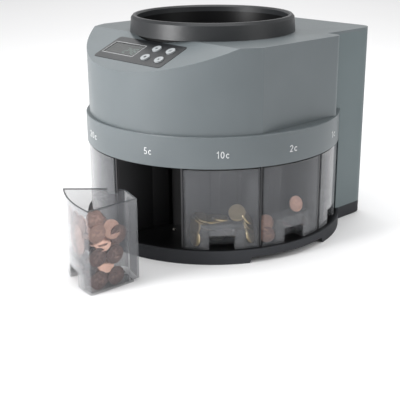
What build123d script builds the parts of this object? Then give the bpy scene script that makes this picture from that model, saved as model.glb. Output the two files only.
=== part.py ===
from build123d import *
import os
from math import atan, cos, pi, radians, sin, sqrt, tan

# Coin sorting machine: a round drum with eight pull-out coin cups, a rear block that holds
# the electrics, and a hopper with a turning sorting disc on top. Millimetres.
# Origin on the drum's axis at the floor, +Z up, front towards -Y.
# Bay angles are measured from -Y towards +X.

# ---- driving dimensions ----
bay_pitch, end_bay_pitch = 33.5, 29.8
coin_names = ("2_euro", "50_cent", "1_euro", "20_cent", "5_cent", "10_cent", "2_cent", "1_cent")
coin_diameters = (25.75, 24.25, 23.25, 22.25, 21.25, 19.75, 18.75, 16.25)
loose_cup = "5_cent"
bay_widths = [end_bay_pitch] + [bay_pitch] * 6 + [end_bay_pitch]
bay_walls = [sum(bay_widths[:i]) - sum(bay_widths) / 2 for i in range(9)]
bay_angles = [wall + width / 2 for wall, width in zip(bay_walls, bay_widths)]

base_radius = 164.2
floor_z = 16.3
skirt_wall = 2.6
tray_thickness = 4.0
arch_height = 7.0
arch_start, arch_end, arch_taper = 61.5, 101.5, 25.0
foot_radius, foot_height = 9.0, 8.5
cover_plate = 2.5

cup_front_radius, cup_side_gap, corner_radius = 158.5, 0.85, 0.9
cup_height = 95.0
cup_wall = 1.8
cup_rest_z = floor_z + 0.2
notch_half_width, notch_height = 14.8, 17.0
hood_half_width, hood_height, hood_depth = 27.0, 31.3, 19.0
rebate_length, rebate_height = 59.6, 3.0
coin_depth = 49.5
grip_cut_depth = 5.4
grip_cut_place, grip_cut_turn = (-17.6, -102.7), 51.5
locator_place, locator_radius = (5.3, -104.5), 2.0
loose_cup_angle = -17.5
loose_cup_shift = (95.3, -105.3)

core_outer, core_inner = 87.0, 84.0
divider_radius, divider_thickness = 157.0, 2.0

ring_radius, ring_wall = 160.0, 3.0
ring_z, ring_top_z = 113.4, 150.0
deck_thickness = 3.0
deck_top_z = ring_z + deck_thickness

shell_radius, shell_wall = 155.8, 3.0
crease_angle = 67.5
shell_side_x = shell_radius * sin(radians(crease_angle))
shell_rear_y, shell_corner = 75.0, 10.0
top_z, cover_thickness = 246.0, 3.0
slope_start_y, slope_angle = -84.0, 23.0

block_half_width, block_wall = 121.5, 2.5
block_front_y, block_rear_y = 104.6, 164.0
block_corner = 16.0

bowl_foot_radius, bowl_top_radius = 88.8, 93.0
rail_z, rail_thickness, rail_radius = 187.0, 4.5, 94.0
rail_top_z = rail_z + rail_thickness
bowl_top_z, rim_top_z = 258.0, 266.0
window_radius = 70.0
chute_foot_radius = 126.0
disc_radius, disc_thickness = 88.2, 5.0
disc_z = rail_top_z + 0.5
pocket_count, pocket_diameter = 10, 27.5

spindle_radius, bearing_radius, running_gap = 5.0, 11.0, 0.05
gear_module, gear_teeth, pinion_teeth = 1.0, 72, 18
gear_z, gear_width, backlash = 124.0, 8.0, 0.12
shaft_spacing = gear_module * (gear_teeth + pinion_teeth) / 2
motor_radius, motor_length, motor_shaft_radius = 18.5, 52.0, 2.5

panel_width, panel_height, panel_thickness = 122.0, 46.0, 1.2
panel_y = -36.0
window_size = (54.0, 21.0)
window_x = -28.0
button_centres = [(x, panel_y + y) for y in (9.5, -9.5) for x in (22.0, 46.0)]
button_names = ("start", "stop", "count", "clear")
button_radius, button_hole_radius, button_rise = 5.7, 6.1, 1.8

socket_z = 42.0
inlet_x, switch_x, port_x = -84.0, -46.0, 60.0
flange_thickness = 1.5

# ---- places and outlines ----


def polar(radius, angle):
    a = radians(angle)
    return (radius * sin(a), -radius * cos(a))


def bay_plane(angle, shift=(0.0, 0.0)):
    a = radians(angle)
    return Plane(origin=(*shift, 0), x_dir=(cos(a), sin(a), 0), z_dir=(0, 0, 1))


slope_plane = Plane(
    origin=(0, slope_start_y, top_z),
    x_dir=(1, 0, 0),
    z_dir=(0, -sin(radians(slope_angle)), cos(radians(slope_angle))),
)
slope_drop = tan(radians(slope_angle))

# The cup's plan, with the drum's axis at the origin and its front towards -Y. The right wall is
# radial, the left one bends inwards past the chute, and a web closes off the rear corner.
cup_rear_y = -91.4
end_left, wall_bend = (-8.5, cup_rear_y), (-22.0, -108.4)


def cup_corners(half_span):
    front_left, front_right = polar(cup_front_radius, -half_span), polar(cup_front_radius, half_span)
    end_right = (-cup_rear_y * tan(radians(half_span)), cup_rear_y)
    return front_left, front_right, end_right


def cup_outline(half_span, grow):
    front_left, front_right, end_right = cup_corners(half_span)
    with BuildSketch() as outline:
        with BuildLine():
            ThreePointArc(front_left, (0, -cup_front_radius), front_right)
            Polyline(front_right, end_right, end_left, wall_bend, front_left)
        make_face()
        if grow:
            offset(amount=grow, kind=Kind.INTERSECTION)
    return outline.sketch


def block_outline(inset, front_y):
    rear = block_rear_y - inset
    with BuildSketch() as outline:
        with Locations((0, (rear + front_y) / 2)):
            Rectangle(2 * (block_half_width - inset), rear - front_y)
        fillet(outline.vertices().group_by(Axis.Y)[-1], radius=block_corner - inset)
    return outline.sketch


def base_outline(inset):
    block = block_outline(inset, 40.0)
    with BuildSketch() as outline:
        Circle(base_radius - inset)
        add(block)
    return outline.sketch


def shell_outline(inset):
    side, rear = shell_side_x - inset, shell_rear_y - inset
    front = -sqrt((shell_radius - inset) ** 2 - side**2)
    with BuildSketch() as outline:
        with BuildLine():
            ThreePointArc((-side, front), (0, inset - shell_radius), (side, front))
            Polyline((side, front), (side, rear), (-side, rear), (-side, front))
        make_face()
        fillet(outline.vertices().group_by(Axis.Y)[-1], radius=shell_corner - inset)
    return outline.sketch


def cover_outline():
    shell, block = shell_outline(0), block_outline(0, 40.0)
    with BuildSketch() as outline:
        add(shell)
        add(block)
    return outline.sketch


def gear_outline(teeth, turn):
    """A spur gear of 20 degree involute teeth, with a tooth centred at the angle turn."""
    pitch = gear_module * teeth / 2
    base = pitch * cos(radians(20))
    tip, root = pitch + 0.95 * gear_module, pitch - 1.2 * gear_module
    half_tooth = pi / (2 * teeth) - backlash / (2 * pitch)

    def roll(radius):
        """The involute's polar angle at a radius, from where it leaves the base circle."""
        slope = sqrt(max((radius / base) ** 2 - 1, 0))
        return slope - atan(slope)

    start = half_tooth + roll(pitch)
    lowest = max(base, root)
    radii = [lowest + (tip - lowest) * i / 4 for i in range(5)]
    points = []
    for i in range(teeth):
        centre = radians(turn) + 2 * pi * i / teeth
        flank = [(r, start - roll(r)) for r in radii]
        outline = [(root, flank[0][1])] * (root < base) + flank
        outline = [(r, -a) for r, a in outline] + [(r, a) for r, a in reversed(outline)]
        points += [(r * cos(centre + a), r * sin(centre + a)) for r, a in outline]
    with BuildSketch() as outline:
        with BuildLine():
            Polyline(*points, close=True)
        make_face()
    return outline.sketch


parts = {}


def finish(name, body):
    """Names a finished piece and keeps it for export."""
    body.part.label = name
    parts[name] = body.part


# ---- base ----

base_outer, base_inner = base_outline(0), base_outline(skirt_wall)
with BuildPart() as base_skirt:
    with BuildSketch():
        add(base_outer)
    extrude(amount=floor_z)
    with BuildSketch():
        add(base_inner)
    extrude(amount=floor_z, mode=Mode.SUBTRACT)
    for side in (-1, 1):
        with BuildSketch():
            far = base_radius * 1.4
            corners = [polar(far, side * a) for a in (arch_start, (arch_start + arch_end) / 2, arch_end)]
            Polygon((0, 0), *corners, align=None)
        extrude(amount=arch_height, taper=arch_taper, mode=Mode.SUBTRACT)
    # the block's foot is eased along its bottom edge
    foot_edges = base_skirt.edges().group_by(Axis.Z)[0].filter_by_position(Axis.Y, 120, block_rear_y + 1)
    long_edges = foot_edges.filter_by(lambda edge: edge.length > 20)
    chamfer(long_edges.filter_by(lambda edge: edge.bounding_box().size.Y < 40), length=1.2)
finish("base_skirt", base_skirt)

tray_outline = base_outline(skirt_wall)
with BuildPart() as bay_tray:
    with BuildSketch(Plane.XY.offset(floor_z - tray_thickness)):
        add(tray_outline)
    extrude(amount=tray_thickness)
finish("bay_tray", bay_tray)

with BuildPart() as bottom_cover:
    with BuildSketch(Plane.XY.offset(foot_height)):
        add(tray_outline)
    extrude(amount=cover_plate)
finish("bottom_cover", bottom_cover)

foot_places = [(0, 0), (-100, -80), (100, -80), (-95, 130), (95, 130)]
with BuildPart() as rubber_feet:
    with BuildSketch():
        with Locations(*foot_places):
            Circle(foot_radius)
    extrude(amount=foot_height)
    chamfer(rubber_feet.edges().group_by(Axis.Z)[0], length=1.0)
finish("rubber_feet", rubber_feet)

with BuildPart() as core_column:
    with BuildSketch(Plane.XY.offset(floor_z)):
        Circle(core_outer)
        Circle(core_inner, mode=Mode.SUBTRACT)
    extrude(amount=ring_z - floor_z)
finish("core_column", core_column)

# Each divider is a radial wall. Its thick side fills the wedge beside the next cup's slanted wall.
divider_height = ring_z - floor_z
with BuildPart() as bay_dividers:
    for i, boundary in enumerate(bay_walls):
        with BuildSketch(bay_plane(boundary).offset(floor_z)):
            with Locations((0, -(core_outer + divider_radius) / 2)):
                Rectangle(divider_thickness, divider_radius - core_outer)
        extrude(amount=divider_height)
        if i < 8:
            half = bay_widths[i] / 2
            cup_clearance = cup_outline(half - cup_side_gap, 1.2)
            with BuildSketch(bay_plane(bay_angles[i]).offset(floor_z)):
                inner_end, outer_end = polar(core_outer, -half), polar(divider_radius, -half)
                Polygon(inner_end, outer_end, (-30, -140), (-12, -100), polar(core_outer, -6), align=None)
                add(cup_clearance, mode=Mode.SUBTRACT)
                Circle(core_outer, mode=Mode.SUBTRACT)
            extrude(amount=divider_height)
finish("bay_dividers", bay_dividers)

# A low peg in each bay's floor, in the slot in the cup's floor.
with BuildPart() as cup_locators:
    for angle in bay_angles:
        with BuildSketch(bay_plane(angle).offset(floor_z)):
            with Locations(locator_place):
                Circle(locator_radius)
        extrude(amount=locator_radius)
    fillet(cup_locators.edges().group_by(Axis.Z)[-1], radius=0.8)
finish("cup_locators", cup_locators)

# ---- cups ----


def make_cup(seat, half_span):
    """One cup, standing on the plane seat."""
    outer, cavity = cup_outline(half_span, 0), cup_outline(half_span, -cup_wall)
    hood_y = hood_depth - cup_front_radius
    reach = hood_depth + 10
    inner_wall = 1.5
    rib = notch_half_width + inner_wall
    side_width = hood_half_width - inner_wall - rib
    web_x, web_y = polar(cup_front_radius - coin_depth, half_span)
    front_middle = seat.from_local_coords((0, -cup_front_radius, cup_height / 2))
    with BuildPart() as cup:
        with BuildSketch(seat):
            add(outer)
        extrude(amount=cup_height)
        # the upright corners beside the curved front are rounded
        corners = cup.edges().filter_by(Axis.Z).sort_by_distance(front_middle)[:2]
        fillet(corners, radius=corner_radius)
        with BuildSketch(seat.offset(cup_wall)):
            add(cavity)
        extrude(amount=cup_height, mode=Mode.SUBTRACT)
        # the web that closes off the rear corner
        with BuildSketch(seat):
            rear_side = [(end_left[0], end_left[1] + cup_wall), (web_x, web_y + cup_wall)]
            Polygon((web_x, web_y), end_left, *rear_side, align=None)
            add(outer, mode=Mode.INTERSECT)
        extrude(amount=cup_height - grip_cut_depth)
        # the hood over the finger notch, open below, with a rib each side of the finger
        with BuildSketch(seat):
            with Locations((0, hood_y - reach / 2)):
                Rectangle(2 * hood_half_width, reach)
            add(outer, mode=Mode.INTERSECT)
        extrude(amount=hood_height)
        side_x = rib + side_width / 2
        for x, width in ((0, 2 * notch_half_width), (side_x, side_width), (-side_x, side_width)):
            with BuildSketch(seat):
                with Locations((x, hood_y - inner_wall - reach / 2)):
                    Rectangle(width, reach)
                add(cavity, mode=Mode.INTERSECT)
            extrude(amount=hood_height - inner_wall, mode=Mode.SUBTRACT)
        with BuildSketch(seat):
            with Locations((0, -cup_front_radius)):
                Rectangle(2 * notch_half_width, 12)
        extrude(amount=notch_height, mode=Mode.SUBTRACT)
        # the step in the rear edge, the slot for the bay's peg and the cut in the left wall's top
        with BuildSketch(seat):
            with Locations((0, rebate_length - cup_front_radius + 20)):
                Rectangle(120, 40)
            with Locations((locator_place[0], locator_place[1] + 3)):
                Rectangle(2 * locator_radius + 1.2, 12)
        extrude(amount=rebate_height, mode=Mode.SUBTRACT)
        with BuildSketch(seat.offset(cup_height - grip_cut_depth)):
            with Locations(grip_cut_place):
                Rectangle(13.6, 9, rotation=grip_cut_turn)
        extrude(amount=grip_cut_depth + 1, mode=Mode.SUBTRACT)
    return cup


for coin, angle, width in zip(coin_names, bay_angles, bay_widths):
    if coin == loose_cup:
        seat = bay_plane(loose_cup_angle, loose_cup_shift)
    else:
        seat = bay_plane(angle).offset(cup_rest_z)
    finish("cup_" + coin, make_cup(seat, width / 2 - cup_side_gap))

# ---- label ring and deck ----

ring_hole = shell_outline(5.0)
with BuildPart() as label_ring:
    with BuildSketch(Plane.XY.offset(ring_z)):
        Circle(ring_radius)
        Circle(ring_radius - ring_wall, mode=Mode.SUBTRACT)
    extrude(amount=ring_top_z - ring_z)
    with BuildSketch(Plane.XY.offset(ring_top_z - ring_wall)):
        Circle(ring_radius - 0.5)
        add(ring_hole, mode=Mode.SUBTRACT)
    extrude(amount=ring_wall)
    with BuildSketch(Plane.XY.offset(ring_z)):
        with Locations((0, block_front_y + 50 - 0.2)):
            Rectangle(400, 100)
    extrude(amount=50, mode=Mode.SUBTRACT)
    top_arcs = label_ring.edges().filter_by(GeomType.CIRCLE).group_by(Axis.Z)[-1]
    fillet(top_arcs.sort_by(SortBy.RADIUS)[-1], radius=1.0)
finish("label_ring", label_ring)

with BuildPart() as deck_plate:
    with BuildSketch(Plane.XY.offset(ring_z)):
        Circle(ring_radius - ring_wall)
        Circle(bearing_radius, mode=Mode.SUBTRACT)
        with Locations((0, shaft_spacing)):
            Circle(motor_shaft_radius + 1.5, mode=Mode.SUBTRACT)
    extrude(amount=deck_thickness)
    for angle in bay_angles:
        with BuildSketch(bay_plane(angle).offset(ring_z)):
            with Locations((0, -chute_foot_radius)):
                Rectangle(33, 29)
        extrude(amount=deck_thickness, mode=Mode.SUBTRACT)
    with BuildSketch(Plane.XY.offset(ring_z)):
        with Locations((0, block_front_y + 50 - 0.2)):
            Rectangle(400, 100)
    extrude(amount=deck_thickness, mode=Mode.SUBTRACT)
finish("deck_plate", deck_plate)

# ---- casing ----

slope_foot_y = -shell_radius - 10


def bent_layer(top, bottom):
    """The profile between two depths under the top's flat and sloping surface, in YZ."""
    drop = (slope_start_y - slope_foot_y) * slope_drop
    upper = [(slope_foot_y, top_z - top - drop), (slope_start_y, top_z - top), (200, top_z - top)]
    lower = [(200, top_z - bottom), (slope_start_y, top_z - bottom), (slope_foot_y, top_z - bottom - drop)]
    with BuildSketch() as layer:
        Polygon(*upper, *lower, align=None)
    return layer.sketch


shell_outer, shell_inner = shell_outline(0), shell_outline(shell_wall)
above_shell = bent_layer(-100, cover_thickness)
with BuildPart() as upper_shell:
    with BuildSketch(Plane.XY.offset(ring_top_z)):
        add(shell_outer)
        add(shell_inner, mode=Mode.SUBTRACT)
    extrude(amount=top_z - ring_top_z)
    with BuildSketch(Plane.YZ):
        add(above_shell)
    extrude(amount=200, both=True, mode=Mode.SUBTRACT)
    with BuildSketch(Plane.XY.offset(ring_top_z)):
        with Locations((0, shell_rear_y)):
            Rectangle(2 * (block_half_width - block_wall - 1), 20)
    extrude(amount=top_z - ring_top_z, mode=Mode.SUBTRACT)
finish("upper_shell", upper_shell)

whole_top, cover_layer = cover_outline(), bent_layer(0, cover_thickness)
with BuildPart() as top_cover:
    with BuildSketch(Plane.XY.offset(ring_top_z)):
        add(whole_top)
    extrude(amount=top_z - ring_top_z)
    with BuildSketch(Plane.YZ):
        add(cover_layer)
    extrude(amount=200, both=True, mode=Mode.INTERSECT)
    with BuildSketch(Plane.XY.offset(ring_top_z)):
        Circle(bowl_top_radius + 3.2)
    extrude(amount=top_z - ring_top_z, mode=Mode.SUBTRACT)
    with BuildSketch(slope_plane):
        with Locations((0, panel_y)):
            RectangleRounded(panel_width + 0.6, panel_height + 0.6, 4.3)
    extrude(amount=-panel_thickness, mode=Mode.SUBTRACT)
    with BuildSketch(slope_plane):
        with Locations((window_x, panel_y)):
            Rectangle(window_size[0] - 4, window_size[1] - 4)
        with Locations(*button_centres):
            Circle(button_hole_radius)
    extrude(amount=-10, mode=Mode.SUBTRACT)
finish("top_cover", top_cover)

with BuildPart() as control_panel:
    with BuildSketch(slope_plane.offset(-panel_thickness)):
        with Locations((0, panel_y)):
            RectangleRounded(panel_width, panel_height, 4)
        with Locations((window_x, panel_y)):
            Rectangle(*window_size, mode=Mode.SUBTRACT)
        with Locations(*button_centres):
            Circle(button_hole_radius, mode=Mode.SUBTRACT)
    extrude(amount=panel_thickness + 0.4)
finish("control_panel", control_panel)

with BuildPart() as display_window:
    with BuildSketch(slope_plane.offset(-panel_thickness)):
        with Locations((window_x, panel_y)):
            Rectangle(window_size[0] - 0.3, window_size[1] - 0.3)
    extrude(amount=panel_thickness + 0.2)
finish("display_window", display_window)

board_depth = 11.0
with BuildPart() as display_module:
    with BuildSketch(slope_plane.offset(-board_depth + 1.6)):
        with Locations((window_x, panel_y)):
            Rectangle(window_size[0] - 6, window_size[1] - 6)
    extrude(amount=board_depth - 1.6 - 3.6)
finish("display_module", display_module)

with BuildPart() as keypad_board:
    with BuildSketch(slope_plane.offset(-board_depth)):
        with Locations((0, panel_y)):
            Rectangle(panel_width - 8, panel_height - 6)
    extrude(amount=1.6)
finish("keypad_board", keypad_board)

for name, centre in zip(button_names, button_centres):
    with BuildPart() as button:
        with BuildSketch(slope_plane.offset(-5)):
            with Locations(centre):
                Circle(button_radius)
        extrude(amount=5 + button_rise)
    finish("button_" + name, button)

block_outer = block_outline(0, block_front_y)
block_inner = block_outline(block_wall, block_front_y + block_wall)
housing_top = top_z - cover_thickness
vent_count = 9
back_plane = Plane(origin=(0, block_rear_y, 0), x_dir=(-1, 0, 0), z_dir=(0, 1, 0))
screw_places = [(x, z) for x in (-104, 104) for z in (26, 130, 232)]
with BuildPart() as rear_housing:
    with BuildSketch(Plane.XY.offset(floor_z)):
        add(block_outer)
        add(block_inner, mode=Mode.SUBTRACT)
        with Locations((0, block_front_y)):
            Rectangle(216, 12, mode=Mode.SUBTRACT)
    extrude(amount=housing_top - floor_z)
    side_length = block_front_y + block_wall - shell_rear_y - 0.3
    with BuildSketch(Plane.XY.offset(ring_top_z)):
        side_x = block_half_width - block_wall / 2
        with Locations(*[(x, shell_rear_y + 0.3 + side_length / 2) for x in (-side_x, side_x)]):
            Rectangle(block_wall, side_length)
    extrude(amount=housing_top - ring_top_z)
    with BuildSketch(back_plane):
        with Locations((0, 190)):
            with GridLocations(0, 8, 1, vent_count):
                SlotOverall(110, 3.2)
        with Locations((-inlet_x, socket_z)):
            Rectangle(28, 20.4)
        with Locations((-switch_x, socket_z)):
            Rectangle(13.4, 19.4)
        with Locations((-port_x, socket_z)):
            Rectangle(13, 12)
    extrude(amount=-block_wall - 1, mode=Mode.SUBTRACT)
    # bosses behind the screws, and recesses that let the heads and the flanges lie flush
    with BuildSketch(back_plane.offset(-block_wall)):
        with Locations(*screw_places):
            Circle(5)
    extrude(amount=-7)
    with BuildSketch(back_plane):
        with Locations(*screw_places):
            Circle(1.6)
    extrude(amount=-block_wall - 7, mode=Mode.SUBTRACT)
    with BuildSketch(back_plane):
        with Locations(*screw_places):
            Circle(3.5)
        with Locations((-inlet_x, socket_z)):
            RectangleRounded(32.3, 25.3, 3.1)
        with Locations((-switch_x, socket_z)):
            RectangleRounded(17.3, 25.3, 2.1)
    extrude(amount=-flange_thickness, mode=Mode.SUBTRACT)
finish("rear_housing", rear_housing)

with BuildPart() as housing_screws:
    with BuildSketch(back_plane.offset(-flange_thickness)):
        with Locations(*screw_places):
            Circle(3.2)
    extrude(amount=flange_thickness - 0.1)
    fillet(housing_screws.edges().group_by(Axis.Y)[-1], radius=0.5)
    with BuildSketch(back_plane.offset(-0.1)):
        with Locations(*screw_places):
            Rectangle(3.6, 0.8)
            Rectangle(0.8, 3.6)
    extrude(amount=-0.8, mode=Mode.SUBTRACT)
    with BuildSketch(back_plane.offset(-flange_thickness)):
        with Locations(*screw_places):
            Circle(1.5)
    extrude(amount=-7)
finish("housing_screws", housing_screws)

# ---- hopper and sorting disc ----

with BuildPart() as hopper_rim:
    with BuildSketch(Plane.XZ):
        lip = bowl_top_radius
        profile = [(lip + 3, top_z), (lip + 9, top_z), (lip + 7.5, rim_top_z - 3), (lip + 5, rim_top_z)]
        profile += [(lip + 1.8, rim_top_z), (lip, rim_top_z - 2), (lip, bowl_top_z), (lip + 3, bowl_top_z)]
        Polygon(*profile, align=None)
    revolve(axis=Axis.Z)
finish("hopper_rim", hopper_rim)

with BuildPart() as hopper_bowl:
    with BuildSketch(Plane.XZ):
        wall = 2.4
        inside = [(bowl_foot_radius, rail_top_z), (bowl_top_radius, bowl_top_z)]
        outside = [(bowl_top_radius + wall, bowl_top_z), (bowl_foot_radius + wall, rail_top_z)]
        Polygon(*inside, *outside, align=None)
    revolve(axis=Axis.Z)
finish("hopper_bowl", hopper_bowl)

with BuildPart() as sorting_disc:
    with BuildSketch(Plane.XY.offset(disc_z)):
        Circle(disc_radius)
        Circle(spindle_radius, mode=Mode.SUBTRACT)
        with PolarLocations(window_radius, pocket_count):
            Circle(pocket_diameter / 2, mode=Mode.SUBTRACT)
    extrude(amount=disc_thickness)
    chamfer(sorting_disc.edges().group_by(Axis.Z)[-1], length=0.6)
finish("sorting_disc", sorting_disc)

cap_z = disc_z + disc_thickness
with BuildPart() as disc_cap:
    with BuildSketch(Plane.XZ):
        with BuildLine():
            Polyline((0, cap_z + 18), (0, cap_z), (24, cap_z), (24, cap_z + 2))
            ThreePointArc((24, cap_z + 2), (14, cap_z + 8), (9, cap_z + 16))
            Line((9, cap_z + 16), (7, cap_z + 18))
            Line((7, cap_z + 18), (0, cap_z + 18))
        make_face()
    revolve(axis=Axis.Z)
    with BuildSketch(Plane.XY.offset(cap_z)):
        with PolarLocations(27, 3):
            Rectangle(20, 4)
    extrude(amount=6)
finish("disc_cap", disc_cap)

with BuildPart() as spindle:
    with BuildSketch(Plane.XY.offset(ring_z - 6)):
        Circle(spindle_radius)
    extrude(amount=cap_z - ring_z + 6)
finish("spindle", spindle)

with BuildPart() as sorting_rail:
    with BuildSketch(Plane.XY.offset(rail_z)):
        Circle(rail_radius)
        Circle(bearing_radius, mode=Mode.SUBTRACT)
    extrude(amount=rail_thickness)
    for angle, diameter in zip(bay_angles, coin_diameters):
        with BuildSketch(bay_plane(angle).offset(rail_z)):
            with Locations((0, -window_radius)):
                RectangleRounded(28, diameter + 0.8, 3)
        extrude(amount=rail_thickness, mode=Mode.SUBTRACT)
finish("sorting_rail", sorting_rail)


def make_bearing(z):
    with BuildPart() as bearing:
        with BuildSketch(Plane.XY.offset(z)):
            Circle(bearing_radius)
            Circle(spindle_radius + running_gap, mode=Mode.SUBTRACT)
        extrude(amount=rail_thickness)
    return bearing


finish("upper_bearing", make_bearing(rail_z))
finish("lower_bearing", make_bearing(ring_z))

with BuildPart() as rail_posts:
    with BuildSketch(Plane.XY.offset(deck_top_z)):
        with PolarLocations(50, 4, start_angle=45):
            Circle(4)
    extrude(amount=rail_z - deck_top_z)
finish("rail_posts", rail_posts)

with BuildPart() as coin_chutes:
    for angle in bay_angles:
        seat = bay_plane(angle)
        for wall, mode in ((0, Mode.ADD), (1.5, Mode.SUBTRACT)):
            with BuildSketch(seat.offset(deck_top_z)) as foot:
                with Locations((0, -chute_foot_radius)):
                    Rectangle(36 - 2 * wall, 32 - 2 * wall)
            with BuildSketch(seat.offset(rail_z)) as mouth:
                with Locations((0, -window_radius)):
                    Rectangle(31 - 2 * wall, 30 - 2 * wall)
            loft(sections=(foot.sketch, mouth.sketch), mode=mode)
finish("coin_chutes", coin_chutes)

with BuildPart() as coin_sensors:
    for angle in bay_angles:
        with BuildSketch(bay_plane(angle).offset(deck_top_z)):
            with Locations((0, -147)):
                Rectangle(12, 6)
        extrude(amount=11)
finish("coin_sensors", coin_sensors)

# ---- drive ----

with BuildPart() as drive_gear:
    gear_face = gear_outline(gear_teeth, 0)
    with BuildSketch(Plane.XY.offset(gear_z)):
        add(gear_face)
        Circle(spindle_radius, mode=Mode.SUBTRACT)
        with PolarLocations(21, 5):
            Circle(7, mode=Mode.SUBTRACT)
    extrude(amount=gear_width)
finish("drive_gear", drive_gear)

with BuildPart() as motor_pinion:
    # a gap between two of its teeth faces the driven gear's tooth at 90 degrees
    pinion_face = gear_outline(pinion_teeth, -90 + 180 / pinion_teeth)
    with BuildSketch(Plane.XY.offset(gear_z)):
        with Locations((0, shaft_spacing)):
            add(pinion_face)
            Circle(motor_shaft_radius, mode=Mode.SUBTRACT)
    extrude(amount=gear_width)
finish("motor_pinion", motor_pinion)

motor_top_z = ring_z - 3
with BuildPart() as motor_shaft:
    with BuildSketch(Plane.XY.offset(motor_top_z - 10)):
        with Locations((0, shaft_spacing)):
            Circle(motor_shaft_radius)
    extrude(amount=gear_z + gear_width + 1 - motor_top_z + 10)
finish("motor_shaft", motor_shaft)

with BuildPart() as motor:
    with BuildSketch(Plane.XY.offset(motor_top_z - motor_length)):
        with Locations((0, shaft_spacing)):
            Circle(motor_radius)
    extrude(amount=motor_length)
    chamfer(motor.edges().group_by(Axis.Z)[0], length=2)
    with BuildSketch(Plane.XY.offset(motor_top_z - 10.5)):
        with Locations((0, shaft_spacing)):
            Circle(motor_shaft_radius + running_gap)
    extrude(amount=10.5, mode=Mode.SUBTRACT)
finish("motor", motor)

with BuildPart() as motor_bracket:
    with BuildSketch(Plane.XY.offset(motor_top_z)):
        with Locations((0, shaft_spacing)):
            Rectangle(52, 46)
            Circle(motor_shaft_radius + 1.5, mode=Mode.SUBTRACT)
    extrude(amount=ring_z - motor_top_z)
finish("motor_bracket", motor_bracket)

# ---- electrics ----

with BuildPart() as power_supply:
    with BuildSketch(Plane.XY.offset(64)):
        with Locations((-56, 140)):
            Rectangle(92, 34)
    extrude(amount=58)
finish("power_supply", power_supply)

with BuildPart() as main_board:
    with BuildSketch(Plane.XY.offset(60)):
        with Locations((54, 138)):
            Rectangle(88, 1.6)
    extrude(amount=90)
finish("main_board", main_board)

chip_places = [(26, 76, 14, 14), (60, 84, 22, 10), (84, 120, 10, 24), (36, 126, 18, 18), (62, 132, 8, 12)]
with BuildPart() as board_components:
    for x, z, width, height in chip_places:
        with BuildSketch(Plane.XY.offset(z - height / 2)):
            with Locations((x, 138.8 + 3)):
                Rectangle(width, 6)
        extrude(amount=height)
finish("board_components", board_components)

with BuildPart() as board_standoffs:
    with BuildSketch(back_plane.offset(-block_wall)):
        with Locations(*[(-x, z) for x in (14, 94) for z in (64, 146)]):
            Circle(3)
    extrude(amount=-(block_rear_y - block_wall - 138.8))
finish("board_standoffs", board_standoffs)

with BuildPart() as power_inlet:
    with BuildSketch(back_plane):
        with Locations((-inlet_x, socket_z)):
            RectangleRounded(32, 25, 3)
    extrude(amount=-flange_thickness)
    with BuildSketch(back_plane):
        with Locations((-inlet_x, socket_z)):
            Rectangle(27.6, 20)
    extrude(amount=-22)
    with BuildSketch(back_plane):
        with Locations((-inlet_x, socket_z)):
            Rectangle(24, 16.4)
    extrude(amount=-19, mode=Mode.SUBTRACT)
finish("power_inlet", power_inlet)

with BuildPart() as inlet_pins:
    with BuildSketch(back_plane.offset(-19)):
        with Locations(*[(-inlet_x + x, socket_z + z) for x, z in ((-7, -2), (0, 2), (7, -2))]):
            Rectangle(2, 4)
    extrude(amount=12)
finish("inlet_pins", inlet_pins)

rocker_y, rocker_tilt, rocker_width = block_rear_y - 6.4, 7.0, 9.6
rocker_pin_radius, rocker_pin_length = 1.5, 12.2
pivot_plane = Plane.YZ.offset(switch_x)
with BuildPart() as switch_frame:
    with BuildSketch(back_plane):
        with Locations((-switch_x, socket_z)):
            RectangleRounded(17, 25, 2)
    extrude(amount=-flange_thickness)
    with BuildSketch(back_plane):
        with Locations((-switch_x, socket_z)):
            Rectangle(13.2, 19.2)
    extrude(amount=-18)
    with BuildSketch(back_plane):
        with Locations((-switch_x, socket_z)):
            Rectangle(10.4, 17)
    extrude(amount=-15, mode=Mode.SUBTRACT)
    with BuildSketch(pivot_plane):
        with Locations((rocker_y, socket_z)):
            Circle(rocker_pin_radius + running_gap)
    extrude(amount=rocker_pin_length / 2 + 0.1, both=True, mode=Mode.SUBTRACT)
finish("switch_frame", switch_frame)

rocker_profile = [(-5, -5), (3.2, -7.6), (5.2, -7.4), (4.0, 0), (5.2, 7.4), (3.2, 7.6), (-5, 5)]
with BuildPart() as switch_rocker:
    with BuildSketch(pivot_plane):
        with Locations((rocker_y, socket_z)):
            Polygon(*rocker_profile, rotation=rocker_tilt, align=None)
    extrude(amount=rocker_width / 2, both=True)
    with BuildSketch(pivot_plane):
        with Locations((rocker_y, socket_z)):
            Circle(rocker_pin_radius)
    extrude(amount=rocker_pin_length / 2, both=True)
finish("switch_rocker", switch_rocker)

with BuildPart() as data_port:
    with BuildSketch(back_plane.offset(-0.2)):
        with Locations((-port_x, socket_z)):
            Rectangle(12, 11)
            Rectangle(9.6, 8.8, mode=Mode.SUBTRACT)
    extrude(amount=-16)
    with BuildSketch(back_plane.offset(-16.2)):
        with Locations((-port_x, socket_z)):
            Rectangle(12, 11)
    extrude(amount=-1.5)
finish("data_port", data_port)

# ---- export ----

os.makedirs("parts", exist_ok=True)
for name, solid in parts.items():
    export_step(solid, f"parts/{name}.step")
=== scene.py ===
import math
import random

import bmesh
import bpy
from mathutils import Matrix, Vector


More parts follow.
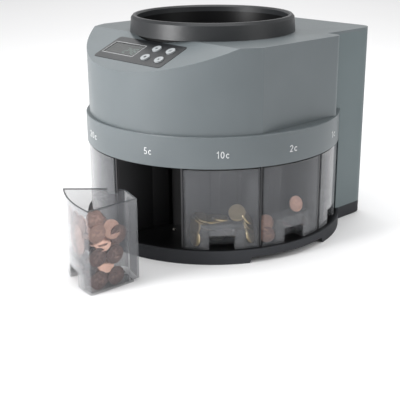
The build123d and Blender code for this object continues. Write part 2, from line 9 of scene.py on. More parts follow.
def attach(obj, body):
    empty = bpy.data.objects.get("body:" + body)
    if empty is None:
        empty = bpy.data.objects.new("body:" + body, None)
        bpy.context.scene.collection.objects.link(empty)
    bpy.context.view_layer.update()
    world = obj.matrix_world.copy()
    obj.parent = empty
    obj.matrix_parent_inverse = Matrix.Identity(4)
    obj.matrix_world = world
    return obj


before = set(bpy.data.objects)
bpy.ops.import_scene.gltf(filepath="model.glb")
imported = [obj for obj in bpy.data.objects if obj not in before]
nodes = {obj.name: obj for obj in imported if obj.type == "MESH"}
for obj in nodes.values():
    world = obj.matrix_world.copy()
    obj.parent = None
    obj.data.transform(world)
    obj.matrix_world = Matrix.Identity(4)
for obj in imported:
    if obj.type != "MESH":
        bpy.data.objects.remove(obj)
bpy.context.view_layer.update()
print("frame loaded:", len(nodes), "nodes")


# ---- shader tools ----

class Sock:
    # an output socket; Python operators on it add Math nodes
    def __init__(self, tree, out):
        self.tree = tree
        self.out = out

    def node(self, kind, settings, inputs, out=0):
        made = self.tree.nodes.new("ShaderNode" + kind)
        for name, value in settings.items():
            if name == "stops":
                stops = made.color_ramp.elements
                while len(stops) < len(value):
                    stops.new(0.5)
                for stop, (place, colour) in zip(stops, value):
                    stop.position = place
                    stop.color = (*colour, 1)
            else:
                setattr(made, name, value)
        for name, value in inputs.items():
            if isinstance(value, Sock):
                self.tree.links.new(value.out, made.inputs[name])
            else:
                made.inputs[name].default_value = value
        return Sock(self.tree, made.outputs[out])

    def math(self, operation, *values):
        return self.node("Math", {"operation": operation}, dict(enumerate(values)))

    def __add__(self, other):
        return self.math("ADD", self, other)

    __radd__ = __add__

    def __sub__(self, other):
        return self.math("SUBTRACT", self, other)

    def __rsub__(self, other):
        return self.math("SUBTRACT", other, self)

    def __mul__(self, other):
        return self.math("MULTIPLY", self, other)

    __rmul__ = __mul__

    def clamp(self, low=0.0, high=1.0):
        return self.node("Clamp", {}, {"Value": self, "Min": low, "Max": high})

    def smooth(self, low, high, first=0.0, last=1.0):
        settings = {"interpolation_type": "SMOOTHSTEP"}
        inputs = {"Value": self, "From Min": low, "From Max": high, "To Min": first, "To Max": last}
        return self.node("MapRange", settings, inputs)

    def mixColour(self, first, second):
        def colour(value):
            return value if isinstance(value, Sock) else (*value, 1)
        inputs = {0: self, 6: colour(first), 7: colour(second)}
        return self.node("Mix", {"data_type": "RGBA"}, inputs, out=2)

    def noise(self, scale, detail=2.0, rough=0.5):
        inputs = {"Vector": self, "Scale": scale, "Detail": detail, "Roughness": rough}
        return self.node("TexNoise", {}, inputs)

    def cells(self, scale, feature="F1"):
        return self.node("TexVoronoi", {"feature": feature}, {"Vector": self, "Scale": scale})

    def axis(self, letter):
        return self.node("SeparateXYZ", {}, {0: self}, out="XYZ".index(letter))

    def stretch(self, x, y, z):
        return self.node("Mapping", {}, {"Vector": self, "Scale": (x, y, z)})

    def fromAxis(self):
        # how far the point is from the upright through the origin
        x, y = self.axis("X"), self.axis("Y")
        square = x * x + y * y
        return square.math("SQRT", square)


def newMaterial(name):
    # gives the material, its object coordinates and its shader
    made = bpy.data.materials.new(name)
    made.use_nodes = True
    tree = made.node_tree
    coords = tree.nodes.new("ShaderNodeTexCoord")
    return made, Sock(tree, coords.outputs["Object"]), tree.nodes["Principled BSDF"]


def feed(place, shader, **values):
    # sets or links the shader's sockets by name, with _ for a space
    for name, value in values.items():
        target = shader.inputs[name.replace("_", " ")]
        if isinstance(value, Sock):
            place.tree.links.new(value.out, target)
        elif name.endswith("Color") or name.endswith("Tint"):
            target.default_value = (*value, 1)
        else:
            target.default_value = value


def bump(height, strength, distance):
    return height.node("Bump", {}, {"Height": height, "Strength": strength, "Distance": distance})


def dress(material, *names):
    for name in names:
        for slot in nodes[name].material_slots:
            slot.material = material


# ---- materials ----

mouldings = {
    "housingPlastic": {
        "dark": (0.122, 0.141, 0.149), "pale": (0.142, 0.162, 0.171),
        "rough": 0.36, "grain": 0.10, "coat": 0.0, "gloss": 0.38,
    },
    "blockPlastic": {
        "dark": (0.120, 0.150, 0.157), "pale": (0.138, 0.170, 0.177),
        "rough": 0.46, "grain": 0.12, "coat": 0.0, "gloss": 0.3,
    },
    "skirtPlastic": {
        "dark": (0.038, 0.039, 0.043), "pale": (0.048, 0.050, 0.055),
        "rough": 0.58, "grain": 0.14, "coat": 0.0, "gloss": 0.08,
    },
    "bayPlastic": {
        "dark": (0.0022, 0.0022, 0.0025), "pale": (0.0038, 0.0038, 0.0042),
        "rough": 0.40, "grain": 0.05, "coat": 0.0, "gloss": 0.2,
    },
    # the dividers' paler colour for their outer ends is a painted sheen
    "dividerPlastic": {
        "dark": (0.0028, 0.0028, 0.0032), "pale": (0.0045, 0.0045, 0.0050),
        "rough": 0.36, "grain": 0.05, "coat": 0.0, "gloss": 0.35, "paintedSheen": (0.040, 0.040, 0.043),
    },
    "panelPlastic": {
        "dark": (0.016, 0.017, 0.019), "pale": (0.022, 0.024, 0.026),
        "rough": 0.38, "grain": 0.16, "coat": 0.1, "gloss": 0.45,
    },
    "pegPlastic": {
        "dark": (0.075, 0.072, 0.066), "pale": (0.11, 0.105, 0.098),
        "rough": 0.4, "grain": 0.1, "coat": 0.1, "gloss": 0.45,
    },
    "gearPlastic": {
        "dark": (0.62, 0.60, 0.54), "pale": (0.72, 0.70, 0.64),
        "rough": 0.45, "grain": 0.1, "coat": 0.1, "gloss": 0.45,
    },
    "keyRubber": {
        "dark": (0.30, 0.32, 0.33), "pale": (0.36, 0.38, 0.39),
        "rough": 0.6, "grain": 0.2, "coat": 0.0, "gloss": 0.45,
    },
    "footRubber": {
        "dark": (0.012, 0.012, 0.012), "pale": (0.02, 0.02, 0.02),
        "rough": 0.8, "grain": 0.4, "coat": 0.0, "gloss": 0.45,
    },
}


def moulded(name, look):
    # satin injection moulding: cloudy colour, spark-eroded grain and faint handling marks
    material, place, shader = newMaterial(name)
    clouds = place.noise(9, 3)
    speck = place.noise(2600, 1)
    base = (clouds * 0.75 + speck * 0.25).smooth(0.3, 0.7).mixColour(look["dark"], look["pale"])
    if "paintedSheen" in look:
        # painted sheen: the outer ends of the dividers get a paler colour for the gloss they catch
        base = place.fromAxis().smooth(0.085, 0.165).mixColour(base, look["paintedSheen"])
    smear = place.stretch(22, 22, 5).noise(1, 4, 0.6)
    rough = look["rough"] + (smear - 0.5) * 0.16 + (speck - 0.5) * 0.05
    grain = place.cells(1900).smooth(0.1, 0.7) + place.noise(1200, 2) * 0.6
    feed(place, shader, Base_Color=base, Roughness=rough, Normal=bump(grain, look["grain"], 0.0002))
    feed(place, shader, Coat_Weight=look["coat"], Coat_Roughness=0.28, Specular_IOR_Level=look["gloss"])
    return material


metals = {
    "discMetal": {"dark": (0.46, 0.47, 0.48), "pale": (0.66, 0.67, 0.68), "rough": 0.30, "turned": True},
    "steelRod": {"dark": (0.42, 0.42, 0.43), "pale": (0.60, 0.60, 0.61), "rough": 0.28, "turned": True},
    "steelSheet": {"dark": (0.40, 0.41, 0.42), "pale": (0.56, 0.57, 0.58), "rough": 0.36, "turned": False},
    "bronzeBush": {"dark": (0.42, 0.27, 0.11), "pale": (0.62, 0.42, 0.19), "rough": 0.34, "turned": True},
    "motorCan": {"dark": (0.05, 0.05, 0.055), "pale": (0.09, 0.09, 0.095), "rough": 0.42, "turned": False},
}


def machined(name, look):
    # fine tool marks: rings about the axis where it was turned, straight brushing where it is sheet
    material, place, shader = newMaterial(name)
    if look["turned"]:
        phase = place.fromAxis() * 1400 + place.noise(60, 2) * 3
        marks = phase.math("SINE", phase) * 0.5 + 0.5
    else:
        marks = place.stretch(1500, 40, 40).noise(1, 3)
    stain = place.noise(35, 4, 0.6)
    base = (marks * 0.4 + stain * 0.6).smooth(0.25, 0.75).mixColour(look["dark"], look["pale"])
    rough = look["rough"] + (stain - 0.5) * 0.22
    feed(place, shader, Base_Color=base, Roughness=rough, Metallic=1.0, Normal=bump(marks, 0.12, 0.0001))
    return material


# the paler tint for the walls' grazing edges is a painted reflection of the sky
cupLook = {
    "tint": (0.178, 0.185, 0.200), "paintedSheenTint": (0.56, 0.565, 0.58), "rimTint": (0.035, 0.037, 0.042),
    "hoodTint": (0.25, 0.256, 0.27), "alpha": 0.23, "edgeAlpha": 0.58, "rough": 0.10,
    "height": 0.095, "rimDepth": 0.0016, "hoodHalf": 0.0270, "hoodTop": 0.0313, "hoodRear": -0.1385,
    "webPlace": -0.1090, "webAlpha": 0.09,
}


def smokedClear(name, at, turn):
    # smoked clear styrene: the thin walls let most light through, have a painted reflection of the sky (a
    # paler base colour) where they turn away and are dark along the cut rim; the hood and the corner behind
    # the web are thicker and read denser
    material, place, shader = newMaterial(name)
    local = place.node("VectorMath", {"operation": "SUBTRACT"}, {0: place, 1: at})
    local = local.node("VectorRotate", {"rotation_type": "Z_AXIS"}, {"Vector": local, "Angle": -turn})
    across, along, up = local.axis("X"), local.axis("Y"), local.axis("Z")
    facing = place.node("LayerWeight", {}, {"Blend": 0.3}, out=1)
    edge = facing.smooth(0.17, 0.85)
    flow = place.stretch(30, 30, 8).noise(1, 3, 0.55)
    scuff = place.stretch(260, 260, 90).noise(1, 5, 0.65).smooth(0.56, 0.72)
    rim = cupLook["height"] - cupLook["rimDepth"]
    lip = up.smooth(rim, rim + cupLook["rimDepth"] * 0.5)
    side = across.math("ABSOLUTE", across).smooth(cupLook["hoodHalf"] + 0.0004, cupLook["hoodHalf"])
    hood = side * up.smooth(cupLook["hoodTop"] + 0.0004, cupLook["hoodTop"])
    hood = hood * along.smooth(cupLook["hoodRear"], cupLook["hoodRear"] - 0.0005)
    corner = along.smooth(cupLook["webPlace"], cupLook["webPlace"] + 0.002)
    alpha = cupLook["alpha"] + (flow - 0.5) * 0.05 + scuff * 0.04 + corner * cupLook["webAlpha"]
    alpha = alpha + edge * (cupLook["edgeAlpha"] - cupLook["alpha"]) + lip * 0.5 + hood * 0.06
    base = hood.mixColour(cupLook["tint"], cupLook["hoodTint"])
    # painted sky reflection: the base colour turns paler where the walls turn away
    base = lip.mixColour(edge.mixColour(base, cupLook["paintedSheenTint"]), cupLook["rimTint"])
    rough = cupLook["rough"] + scuff * 0.25 + (flow - 0.5) * 0.05
    feed(place, shader, Base_Color=base, Alpha=alpha.clamp(), Roughness=rough)
    feed(place, shader, Normal=bump(flow + scuff * 0.2, 0.06, 0.0008), Coat_Weight=0.6, Coat_Roughness=0.04)
    return material


def tintedWindow():
    material, place, shader = newMaterial("tintedWindow")
    haze = place.noise(400, 3).smooth(0.5, 0.8)
    feed(place, shader, Base_Color=haze.mixColour((0.012, 0.016, 0.016), (0.03, 0.035, 0.035)))
    feed(place, shader, Alpha=0.62, Roughness=0.06 + haze * 0.12, Coat_Weight=0.5)
    return material


def circuitBoard():
    material, place, shader = newMaterial("circuitBoard")
    tracks = place.cells(190, "DISTANCE_TO_EDGE").smooth(0.04, 0.07)
    base = tracks.mixColour((0.05, 0.26, 0.12), (0.012, 0.11, 0.05))
    feed(place, shader, Base_Color=base, Roughness=0.3 + tracks * 0.15, Normal=bump(1 - tracks, 0.2, 0.0002))
    return material


def printInk(name, colour, strength=0.0):
    # pad-printed ink with slightly uneven cover
    material, place, shader = newMaterial(name)
    cover = place.noise(1800, 3).smooth(0.2, 0.8)
    darker = tuple(0.86 * c for c in colour)
    feed(place, shader, Base_Color=cover.mixColour(darker, colour), Roughness=0.45 + cover * 0.15)
    feed(place, shader, Emission_Color=colour, Emission_Strength=strength)
    return material


# the dark end of each coin's tone serves both for worn coins and as painted shade on coins in shadow
coinMetals = {
    "copper": {"bright": (0.90, 0.56, 0.44), "wornAndShaded": (0.170, 0.100, 0.088), "rough": 0.36},
    "gold": {"bright": (0.60, 0.50, 0.34), "wornAndShaded": (0.28, 0.23, 0.15), "rough": 0.34},
    "silver": {"bright": (0.66, 0.65, 0.62), "wornAndShaded": (0.42, 0.41, 0.40), "rough": 0.3},
}


def coinMetal(name, look):
    # each coin carries its face in one UV map, for the beaded ring and a plain field of relief, and in
    # another
    # how bright it is: wear on most coins, painted light and shade on the coins against the loose cup's wall
    material, place, shader = newMaterial(name)
    uv = place.node("UVMap", {"uv_map": "face"}, {})
    radius = uv.fromAxis()
    turn = uv.math("ARCTAN2", uv.axis("Y"), uv.axis("X")) * 48
    beads = turn.math("SINE", turn) * radius.smooth(0.70, 0.73) * radius.smooth(0.83, 0.80)
    relief = uv.noise(3.2, 3, 0.45).smooth(0.46, 0.56) * radius.smooth(0.68, 0.62)
    wear = place.noise(140, 4, 0.6)
    shine = place.node("UVMap", {"uv_map": "shine"}, {}).axis("X")
    tone = (shine + (wear - 0.5) * 0.35 + (relief - 0.5) * 0.24 + beads * 0.10).clamp()
    feed(place, shader, Base_Color=tone.mixColour(look["wornAndShaded"], look["bright"]), Metallic=0.85)
    feed(place, shader, Roughness=look["rough"] + (wear - 0.5) * 0.3)
    feed(place, shader, Normal=bump(relief + beads * 0.5, 0.18, 0.0001))
    return material


looks = {name: moulded(name, look) for name, look in mouldings.items()}
looks.update({name: machined(name, look) for name, look in metals.items()})
dress(looks["housingPlastic"], "label_ring", "upper_shell", "top_cover")
dress(looks["blockPlastic"], "rear_housing")
dress(looks["skirtPlastic"], "base_skirt")
dress(looks["bayPlastic"], "bay_tray", "core_column", "deck_plate", "bottom_cover",
      "coin_chutes", "coin_sensors", "board_components", "hopper_bowl")
dress(looks["dividerPlastic"], "bay_dividers")
dress(looks["panelPlastic"], "control_panel", "hopper_rim", "disc_cap", "display_module",
      "power_inlet", "switch_frame", "switch_rocker")
dress(looks["pegPlastic"], "cup_locators")
dress(looks["gearPlastic"], "drive_gear")
dress(looks["keyRubber"], "button_start", "button_stop", "button_count", "button_clear")
dress(looks["footRubber"], "rubber_feet")
dress(looks["discMetal"], "sorting_disc", "sorting_rail")
dress(looks["steelRod"], "spindle", "rail_posts", "motor_shaft", "housing_screws", "data_port",
      "motor_bracket")
dress(looks["steelSheet"], "power_supply")
dress(looks["bronzeBush"], "upper_bearing", "lower_bearing", "motor_pinion", "board_standoffs", "inlet_pins")
dress(looks["motorCan"], "motor")
dress(circuitBoard(), "main_board", "keypad_board")
dress(tintedWindow(), "display_window")

coins = {
    "2_euro": {"label": "2€", "radius": 0.012875, "thick": 0.00220, "metal": "silver"},
    "50_cent": {"label": "50c", "radius": 0.012125, "thick": 0.00238, "metal": "gold"},
    "1_euro": {"label": "1€", "radius": 0.011625, "thick": 0.00233, "metal": "silver"},
    "20_cent": {"label": "20c", "radius": 0.011125, "thick": 0.00214, "metal": "gold"},
    "5_cent": {"label": "5c", "radius": 0.010625, "thick": 0.00167, "metal": "copper"},
    "10_cent": {"label": "10c", "radius": 0.009875, "thick": 0.00193, "metal": "gold"},
    "2_cent": {"label": "2c", "radius": 0.009375, "thick": 0.00167, "metal": "copper"},
    "1_cent": {"label": "1c", "radius": 0.008125, "thick": 0.00167, "metal": "copper"},
}
# each cup's bay and the place of its label on the ring, in degrees from the front
bays = {
    "2_euro": {"angle": -115.4, "width": 29.8, "label": -111.8, "wide": 1.6},
    "50_cent": {"angle": -83.75, "width": 33.5, "label": -81.5, "wide": 1.1},
    "1_euro": {"angle": -50.25, "width": 33.5, "label": -50.5, "wide": 1.0},
    "20_cent": {"angle": -16.75, "width": 33.5, "label": -18.0, "wide": 1.55},
    "5_cent": {"angle": 16.75, "width": 33.5, "label": 19.1, "wide": 1.0},
    "10_cent": {"angle": 50.25, "width": 33.5, "label": 50.5, "wide": 1.0},
    "2_cent": {"angle": 83.75, "width": 33.5, "label": 81.5, "wide": 1.1},
    "1_cent": {"angle": 115.4, "width": 29.8, "label": 111.8, "wide": 1.6},
}
cupPlan = {"frontRadius": 0.1585, "gap": 0.85, "wall": 0.0018, "seat": 0.0165, "looseTurn": -17.5,
           "looseShift": (0.0953, -0.1053, 0)}


def cupPlace(name):
    # a cup's origin and its turn about the upright
    if name == "5_cent":
        return cupPlan["looseShift"], math.radians(cupPlan["looseTurn"])
    return (0, 0, cupPlan["seat"]), math.radians(bays[name]["angle"])


def cupMatrix(name):
    at, turn = cupPlace(name)
    return Matrix.Translation(at) @ Matrix.Rotation(turn, 4, "Z")


for name in coins:
    dress(smokedClear("smoked_" + name, *cupPlace(name)), "cup_" + name)
print("materials done")


# ---- new pieces ----

def addPiece(name, mesh, material, body):
    piece = bpy.data.objects.new(name, mesh)
    bpy.context.scene.collection.objects.link(piece)
    mesh.materials.clear()
    mesh.materials.append(material)
    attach(piece, body)
    return piece


labels = {
    "radius": 0.1601, "height": 0.1300, "cap": 0.0079, "stroke": 0.00092, "space": 0.0016, "proud": 0.00012,
}
labelInk = printInk("labelInk", (0.72, 0.73, 0.74))


def arc(x, y, wide, tall, start, end):
    # points along an ellipse, angles in degrees
    steps = [math.radians(start + (end - start) * i / 18) for i in range(19)]
    return [(x + wide * math.cos(a), y + tall * math.sin(a)) for a in steps]


# the strokes of each sign, in parts of the cap height; width is how far the next sign moves on
glyphs = {
    "0": {"width": 0.54, "strokes": [arc(0.27, 0.5, 0.21, 0.44, 90, 450)]},
    "1": {"width": 0.40, "strokes": [[(0.07, 0.76), (0.20, 0.82), (0.29, 0.97), (0.29, 0.0)]]},
    "2": {"width": 0.54, "strokes": [arc(0.27, 0.70, 0.20, 0.24, 170, -35) + [(0.07, 0.06), (0.50, 0.06)]]},
    "5": {"width": 0.54, "strokes": [
        [(0.46, 0.94), (0.15, 0.94), (0.10, 0.50)] + arc(0.26, 0.31, 0.21, 0.25, 128, -148),
    ]},
    "c": {"width": 0.50, "strokes": [arc(0.27, 0.345, 0.21, 0.29, 42, 318)]},
    "€": {"width": 0.66, "strokes": [
        arc(0.36, 0.5, 0.25, 0.44, 48, 312), [(0.0, 0.58), (0.46, 0.58)], [(0.0, 0.42), (0.42, 0.42)],
    ]},
}


def addStroke(bm, points, shift):
    # one pen stroke as a flat ribbon along the points, mitred where it turns
    cap, half = labels["cap"], labels["stroke"] / 2
    path = [Vector((shift + x * cap, (y - 0.5) * cap)) for x, y in points]
    sides = []
    for i, here in enumerate(path):
        before = (here - path[i - 1]).normalized() if i else (path[1] - here).normalized()
        after = (path[i + 1] - here).normalized() if i + 1 < len(path) else before
        along = (before + after).normalized()
        out = Vector((-along.y, along.x)) * half / max(along.dot(before), 0.5)
        sides.append((bm.verts.new((*(here + out), 0)), bm.verts.new((*(here - out), 0))))
    for (a, b), (c, d) in zip(sides, sides[1:]):
        bm.faces.new((a, b, d, c))


def ringLabel(name, text):
    # a denomination printed on the ring above its cup
    bm = bmesh.new()
    wide = sum(glyphs[sign]["width"] for sign in text) * labels["cap"] + (len(text) - 1) * labels["space"]
    x = -wide / 2
    for sign in text:
        for points in glyphs[sign]["strokes"]:
            addStroke(bm, points, x)
        x += glyphs[sign]["width"] * labels["cap"] + labels["space"]
    bmesh.ops.subdivide_edges(bm, edges=[e for e in bm.edges if e.calc_length() > 0.002], cuts=3)
    bmesh.ops.recalc_face_normals(bm, faces=bm.faces)
    bmesh.ops.solidify(bm, geom=bm.faces[:], thickness=labels["proud"])
    for v in bm.verts:
        angle = math.radians(bays[name]["label"]) + v.co.x * bays[name]["wide"] / labels["radius"]
        out = labels["radius"] + abs(v.co.z)
        v.co = (out * math.sin(angle), -out * math.cos(angle), labels["height"] + v.co.y)
    bmesh.ops.recalc_face_normals(bm, faces=bm.faces)
    mesh = bpy.data.meshes.new("label_" + name)
    bm.to_mesh(mesh)
    bm.free()
    addPiece("label_" + name, mesh, labelInk, "machine")


for name, coin in coins.items():
    ringLabel(name, coin["label"])
print("labels done")


# ---- control panel ----

panel = {
    "origin": (0, -0.084, 0.246), "tilt": 23.0, "windowAt": (-0.028, -0.036), "windowSize": (0.054, 0.021),
    "lineGap": 0.0016, "lineWidth": 0.0004, "inkThick": 0.00006, "lineLift": 0.00044, "keyTop": 0.00184,
    "digitDepth": 0.0013,
    "keys": {
        "start": (0.022, -0.0265), "stop": (0.022, -0.0455),
        "count": (0.046, -0.0265), "clear": (0.046, -0.0455),
    },
}
panelMatrix = Matrix.Translation(panel["origin"]) @ Matrix.Rotation(math.radians(panel["tilt"]), 4, "X")


def addBar(bm, centre, width, height, thick, turn=0.0):
    # a flat bar with chamfered ends, added to the plane that bm is made in
    bar = bmesh.new()
    bmesh.ops.create_cube(bar, size=1)
    bmesh.ops.scale(bar, vec=(width, height, thick), verts=bar.verts)
    corners = [e for e in bar.edges if abs(e.verts[0].co.z - e.verts[1].co.z) > thick / 2]
    bmesh.ops.bevel(bar, geom=corners, offset=min(width, height) * 0.42, segments=1,
                    affect="EDGES", profile=0.5, material=-1)
    place = Matrix.Translation((*centre, 0)) @ Matrix.Rotation(turn, 4, "Z")
    bmesh.ops.transform(bar, matrix=place, verts=bar.verts)
    mesh = bpy.data.meshes.new("bar")
    bar.to_mesh(mesh)
    bar.free()
    bm.from_mesh(mesh)
    bpy.data.meshes.remove(mesh)


def finishFlat(name, bm, lift, material, body):
    # moves a flat piece made about the panel's origin onto the panel, lift above its surface
    bmesh.ops.translate(bm, vec=(0, 0, lift), verts=bm.verts)
    bmesh.ops.transform(bm, matrix=panelMatrix, verts=bm.verts)
    bmesh.ops.recalc_face_normals(bm, faces=bm.faces)
    mesh = bpy.data.meshes.new(name)
    bm.to_mesh(mesh)
    bm.free()
    return addPiece(name, mesh, material, body)


digits = {
    "count": 6, "pitch": 0.0076, "height": 0.0110, "width": 0.0046, "stroke": 0.00085, "thick": 0.00008,
    "shown": "   248",
}
segments = {"2": "abged", "4": "fgbc", "8": "abcdefg"}


def displayDigits():
    # a count in seven-segment figures under the window; the lit bars are one piece, the dark ones another
    half, tall = digits["width"] / 2, digits["height"] / 2
    spots = {"a": (0, tall, 0), "g": (0, 0, 0), "d": (0, -tall, 0), "f": (-half, tall / 2, 1),
             "b": (half, tall / 2, 1), "e": (-half, -tall / 2, 1), "c": (half, -tall / 2, 1)}
    lit, dark = bmesh.new(), bmesh.new()
    for place, figure in enumerate(digits["shown"]):
        x = panel["windowAt"][0] + (place - (digits["count"] - 1) / 2) * digits["pitch"]
        for key, (dx, dy, upright) in spots.items():
            target = lit if key in segments.get(figure, "") else dark
            length = (tall if upright else digits["width"]) - digits["stroke"] * 0.5
            centre = (x + dx, panel["windowAt"][1] + dy)
            addBar(target, centre, length, digits["stroke"], digits["thick"], math.pi / 2 * upright)
    finishFlat("litDigits", lit, -panel["digitDepth"], digitLit, "machine")
    finishFlat("darkDigits", dark, -panel["digitDepth"], digitDark, "machine")


def keySigns():
    # a plain sign on each key: a triangle, a square, a stack of lines and a cross
    for name, (x, y) in panel["keys"].items():
        bm = bmesh.new()
        if name == "start":
            bmesh.ops.create_circle(bm, cap_ends=True, segments=3, radius=0.0022)
            bmesh.ops.rotate(bm, matrix=Matrix.Rotation(-math.pi / 2, 3, "Z"), verts=bm.verts)
        elif name == "stop":
            bmesh.ops.create_circle(bm, cap_ends=True, segments=4, radius=0.0024)
            bmesh.ops.rotate(bm, matrix=Matrix.Rotation(math.pi / 4, 3, "Z"), verts=bm.verts)
        elif name == "count":
            for row in (-1, 0, 1):
                addBar(bm, (0, row * 0.0013), 0.0040, 0.0006, panel["inkThick"])
        else:
            for turn in (math.pi / 4, -math.pi / 4):
                addBar(bm, (0, 0), 0.0044, 0.0007, panel["inkThick"], turn)
        if name in ("start", "stop"):
            bmesh.ops.solidify(bm, geom=bm.faces[:], thickness=panel["inkThick"])
        bmesh.ops.translate(bm, vec=(x, y, 0), verts=bm.verts)
        finishFlat("sign_" + name, bm, panel["keyTop"], signInk, name + "_button")


def panelLine():
    # a thin printed frame about the window
    bm = bmesh.new()
    x, y = panel["windowAt"]
    wide, tall = (size + 2 * panel["lineGap"] for size in panel["windowSize"])
    line, thick = panel["lineWidth"], panel["inkThick"]
    for side in (-0.5, 0.5):
        addBar(bm, (x, y + side * tall), wide + line, line, thick)
        addBar(bm, (x + side * wide, y), tall + line, line, thick, math.pi / 2)
    finishFlat("windowLine", bm, panel["lineLift"], labelInk, "machine")


digitLit = printInk("digitLit", (0.55, 0.80, 0.72), 1.2)
digitDark = printInk("digitDark", (0.022, 0.030, 0.029))
signInk = printInk("signInk", (0.03, 0.032, 0.034))
displayDigits()
keySigns()
panelLine()
print("panel done")


# ---- coins ----

def coinBlank(coin):
    # one coin at the origin with a raised rim; its UV map holds the place on its face
    bm = bmesh.new()
    layer = bm.loops.layers.uv.new("face")
    bmesh.ops.create_cone(bm, cap_ends=True, segments=40, radius1=coin["radius"], radius2=coin["radius"],
                          depth=coin["thick"])
    corner = [e for e in bm.edges if abs(e.verts[0].co.z - e.verts[1].co.z) < 0.0001]
    bmesh.ops.bevel(bm, geom=corner, offset=0.00018, segments=1, affect="EDGES", profile=0.5, material=-1)
    caps = [f for f in bm.faces if len(f.verts) == 40]
    bmesh.ops.inset_region(bm, faces=caps, thickness=coin["radius"] * 0.08, depth=0)
    bmesh.ops.inset_region(bm, faces=caps, thickness=0.0001, depth=-0.00015)
    for face in bm.faces:
        for loop in face.loops:
            loop[layer].uv = (loop.vert.co.x / coin["radius"], loop.vert.co.y / coin["radius"])
    mesh = bpy.data.meshes.new("coinBlank")
    bm.to_mesh(mesh)
    bm.free()
    return mesh


def lean(x, y, z, tilt, heading, spin=0.0):
    # a coin's place in the cup: its face tilted from flat by tilt, towards heading, in degrees
    turn = Matrix.Rotation(math.radians(heading), 4, "Z") @ Matrix.Rotation(math.radians(tilt), 4, "X")
    return Matrix.Translation((x, y, z)) @ turn @ Matrix.Rotation(math.radians(spin), 4, "Z")


def pourCoins(name, places, shines=()):
    # shines gives how bright each of the first coins is, from 0 dark to 1 bright, as painted light and
    # shade; the others get mixed wear
    blank = coinBlank(coins[name])
    mesh = bpy.data.meshes.new("coins_" + name)
    bm = bmesh.new()
    shineMap = []
    mixed = random.Random(len(places))
    for i, place in enumerate(places):
        start = len(bm.verts)
        bm.from_mesh(blank)
        bm.verts.ensure_lookup_table()
        bmesh.ops.transform(bm, matrix=cupMatrix(name) @ place, verts=bm.verts[start:])
        shine = shines[i] if i < len(shines) else mixed.uniform(0.15, 0.75)
        shineMap += [(shine, 0)] * (len(bm.faces) - len(shineMap))
    layer = bm.loops.layers.uv.new("shine")
    for face, shine in zip(bm.faces, shineMap):
        for loop in face.loops:
            loop[layer].uv = shine
    bm.to_mesh(mesh)
    bm.free()
    metal = coins[name]["metal"]
    if metal not in looks:
        looks[metal] = coinMetal(metal + "Coin", coinMetals[metal])
    addPiece("coins_" + name, mesh, looks[metal], "cup_of_" + name)


def heap(rng, count, box, tilt):
    # coins dropped at random in a box of the cup's plan
    (x0, x1), (y0, y1), (z0, z1) = box
    places = []
    for i in range(count):
        y = rng.uniform(y0, y1)
        place = (rng.uniform(x0, x1 * y / y0), y, z0 + (z1 - z0) * (i + 0.5) / count)
        places.append(lean(*place, rng.uniform(-tilt, tilt), rng.uniform(0, 360), rng.uniform(0, 360)))
    return places



def sideCoin(name, depth, z, off=0.0, tilt=90.0, spin=0.0):
    # a coin flat against the right wall: depth from the front, height z, off the wall by off
    coin = coins[name]
    span = math.radians(bays[name]["width"] / 2 - cupPlan["gap"])
    radius = cupPlan["frontRadius"] - depth
    side = span - (cupPlan["wall"] + coin["thick"] * 0.5 + 0.0012 + off) / radius
    return lean(radius * math.sin(side), -radius * math.cos(side), z, tilt, 90 + math.degrees(span), spin)


rng = random.Random(5)
# the coins against the loose cup's right wall, each with its shine: painted shade on those lying flat in
# shadow against the wall, painted light on those that lean out
wallCoins = [
    (sideCoin("5_cent", 0.0130, 0.0130, 0.0004, 91), 0.10),
    (sideCoin("5_cent", 0.0352, 0.0125, 0.0006, 91, 40), 0.08),
    (sideCoin("5_cent", 0.0128, 0.0395, 0.0002, 92, 80), 0.05),
    (sideCoin("5_cent", 0.0350, 0.0375, 0.0002, 92, 120), 0.12),
    (sideCoin("5_cent", 0.0140, 0.0655, 0.0012, 93, 20), 0.55),
    (sideCoin("5_cent", 0.0245, 0.0285, 0.0044, 66, 10), 1.0),
    (sideCoin("5_cent", 0.0215, 0.0540, 0.0044, 62, 60), 1.0),
    (sideCoin("5_cent", 0.0330, 0.0660, 0.0020, 74, 90), 0.95),
    (sideCoin("5_cent", 0.0150, 0.0800, 0.0060, 72, 30), 0.35),
    (sideCoin("5_cent", 0.0405, 0.0590, 0.0006, 92, 70), 0.15),
    (sideCoin("5_cent", 0.0245, 0.0570, 0.0074, 88, 25), 0.05),
]
looseCoins = [place for place, shine in wallCoins]
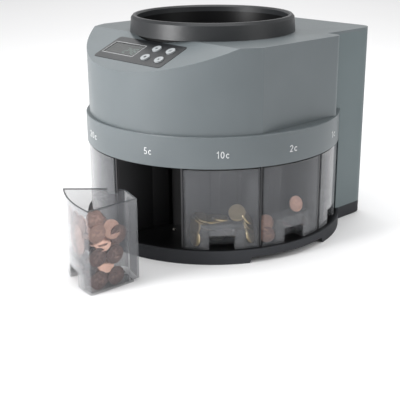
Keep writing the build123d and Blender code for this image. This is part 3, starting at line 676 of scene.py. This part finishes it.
# upright coins behind its front wall
for row in range(4):
    for column in range(3):
        angle = -11 + 7.4 * column + 2 * (row % 2) + rng.uniform(-1, 1)
        radius = cupPlan["frontRadius"] - 0.0044 - rng.uniform(0, 0.003)
        x, y = radius * math.sin(math.radians(angle)), -radius * math.cos(math.radians(angle))
        z = 0.040 + 0.0105 * row + rng.uniform(-0.002, 0.002)
        looseCoins.append(lean(x, y, z, 88, angle, 50 * column))
looseCoins += heap(rng, 60, ((-0.022, 0.0255), (-0.142, -0.119), (0.004, 0.066)), 34)
pourCoins("5_cent", looseCoins, [shine for place, shine in wallCoins])
hoodTop = 0.0320
tenCent = [
    lean(-0.0305, -0.150, 0.012, 84, -62), lean(-0.0300, -0.147, 0.026, 80, -60),
    lean(-0.0325, -0.143, 0.019, 78, -52), lean(-0.0200, -0.147, hoodTop + 0.0034, 18, 60),
    lean(-0.0060, -0.147, hoodTop + 0.0012, 3, 60), lean(-0.0010, -0.149, hoodTop + 0.0034, 7, 110),
    lean(0.0175, -0.1528, hoodTop + 0.0108, 74, 8), lean(0.0340, -0.148, 0.014, 74, 58),
    lean(0.0325, -0.145, 0.021, 66, 64), lean(0.0310, -0.146, 0.028, 58, 70),
    lean(0.0290, -0.147, 0.035, 50, 76), lean(0.0335, -0.139, 0.012, 60, 80),
    lean(-0.0245, -0.146, hoodTop + 0.0008, 26, 80), lean(-0.0120, -0.1485, hoodTop + 0.0022, 9, 20),
    lean(-0.0290, -0.1400, 0.0300, 66, -64), lean(0.0290, -0.1395, 0.0245, 60, 76),
    lean(-0.004, -0.128, 0.006, 10, 0), lean(0.012, -0.124, 0.008, 22, 80),
    lean(0.024, -0.126, 0.012, 30, 200), lean(-0.014, -0.120, 0.010, 26, 150),
]
pourCoins("10_cent", tenCent)
twoCent = [
    lean(-0.0335, -0.148, 0.011, 82, -34), lean(-0.0330, -0.145, 0.025, 76, -30),
    lean(-0.0330, -0.140, 0.016, 60, 10), lean(0.0062, -0.1530, hoodTop + 0.0100, 70, 356),
    lean(0.031, -0.138, 0.012, 40, 20), lean(-0.004, -0.128, 0.006, 8, 0),
    lean(0.014, -0.126, 0.007, 18, 80), lean(-0.018, -0.124, 0.010, 26, 150),
]
pourCoins("2_cent", twoCent)
for seed, name in enumerate(("1_cent", "20_cent", "50_cent", "1_euro", "2_euro")):
    rng = random.Random(40 + seed)
    box = ((-0.014, 0.016), (-0.132, -0.118), (0.005, 0.012 + 0.004 * seed))
    pourCoins(name, heap(rng, 6 + 2 * seed, box, 20))
print("coins done")


# ---- floor, light and camera ----

stage = {"size": 6.0, "colour": (0.93, 0.93, 0.935)}


def makeFloor():
    mesh = bpy.data.meshes.new("floor")
    bm = bmesh.new()
    bmesh.ops.create_grid(bm, x_segments=1, y_segments=1, size=stage["size"])
    bm.to_mesh(mesh)
    bm.free()
    floor = bpy.data.objects.new("floor", mesh)
    bpy.context.scene.collection.objects.link(floor)
    material, place, shader = newMaterial("paleFloor")
    tone = place.noise(3, 2)
    paler = tuple(1.02 * c for c in stage["colour"])
    feed(place, shader, Base_Color=tone.mixColour(stage["colour"], paler), Roughness=0.8)
    mesh.materials.append(material)


makeFloor()

view = {"place": (0.7739, -0.7344, 0.3891), "turn": 47.42, "pitch": 18.95, "roll": -0.4, "lens": 76.67}
camera = bpy.data.objects.new("camera", bpy.data.cameras.new("camera"))
bpy.context.scene.collection.objects.link(camera)
camera.data.lens = view["lens"]
camera.data.sensor_width = 36
camera.data.clip_start = 0.05
camera.matrix_world = (
    Matrix.Translation(view["place"])
    @ Matrix.Rotation(math.radians(view["turn"]), 4, "Z")
    @ Matrix.Rotation(math.radians(90 - view["pitch"]), 4, "X")
    @ Matrix.Rotation(math.radians(view["roll"]), 4, "Z")
)
bpy.context.scene.camera = camera

# the lights are placed from the machine's middle: side to the camera's right, back towards it, up
right = Matrix.Rotation(math.radians(view["turn"]), 3, "Z") @ Vector((1, 0, 0))
ahead = Vector((-right.y, right.x, 0))
target = Vector((0, 0, 0.13))
lights = {
    "keySoftbox": {"side": -1.30, "back": 0.78, "up": 0.45, "size": 0.45, "power": 24},
    "fillSoftbox": {"side": 1.45, "back": 0.8, "up": 0.8, "size": 1.0, "power": 10},
    "topSoftbox": {"side": 0.0, "back": -0.2, "up": 1.6, "size": 1.6, "power": 22},
    "sweepSoftbox": {"side": 0.0, "back": -2.8, "up": 1.6, "size": 3.2, "power": 30},
}
for name, spot in lights.items():
    light = bpy.data.lights.new(name, "AREA")
    light.size = spot["size"]
    light.energy = spot["power"]
    lamp = bpy.data.objects.new(name, light)
    bpy.context.scene.collection.objects.link(lamp)
    lamp.location = target + right * spot["side"] - ahead * spot["back"] + Vector((0, 0, spot["up"]))
    if name != "sweepSoftbox":
        # the sweep's light points straight down at the floor behind the machine
        lamp.rotation_euler = (target - lamp.location).to_track_quat("-Z", "Y").to_euler()

world = bpy.data.worlds.new("studio")
world.use_nodes = True
world.node_tree.nodes["Background"].inputs["Color"].default_value = (1, 1, 1, 1)
world.node_tree.nodes["Background"].inputs["Strength"].default_value = 0.38
bpy.context.scene.world = world
bpy.context.scene.view_settings.view_transform = "Standard"
print("stage done")
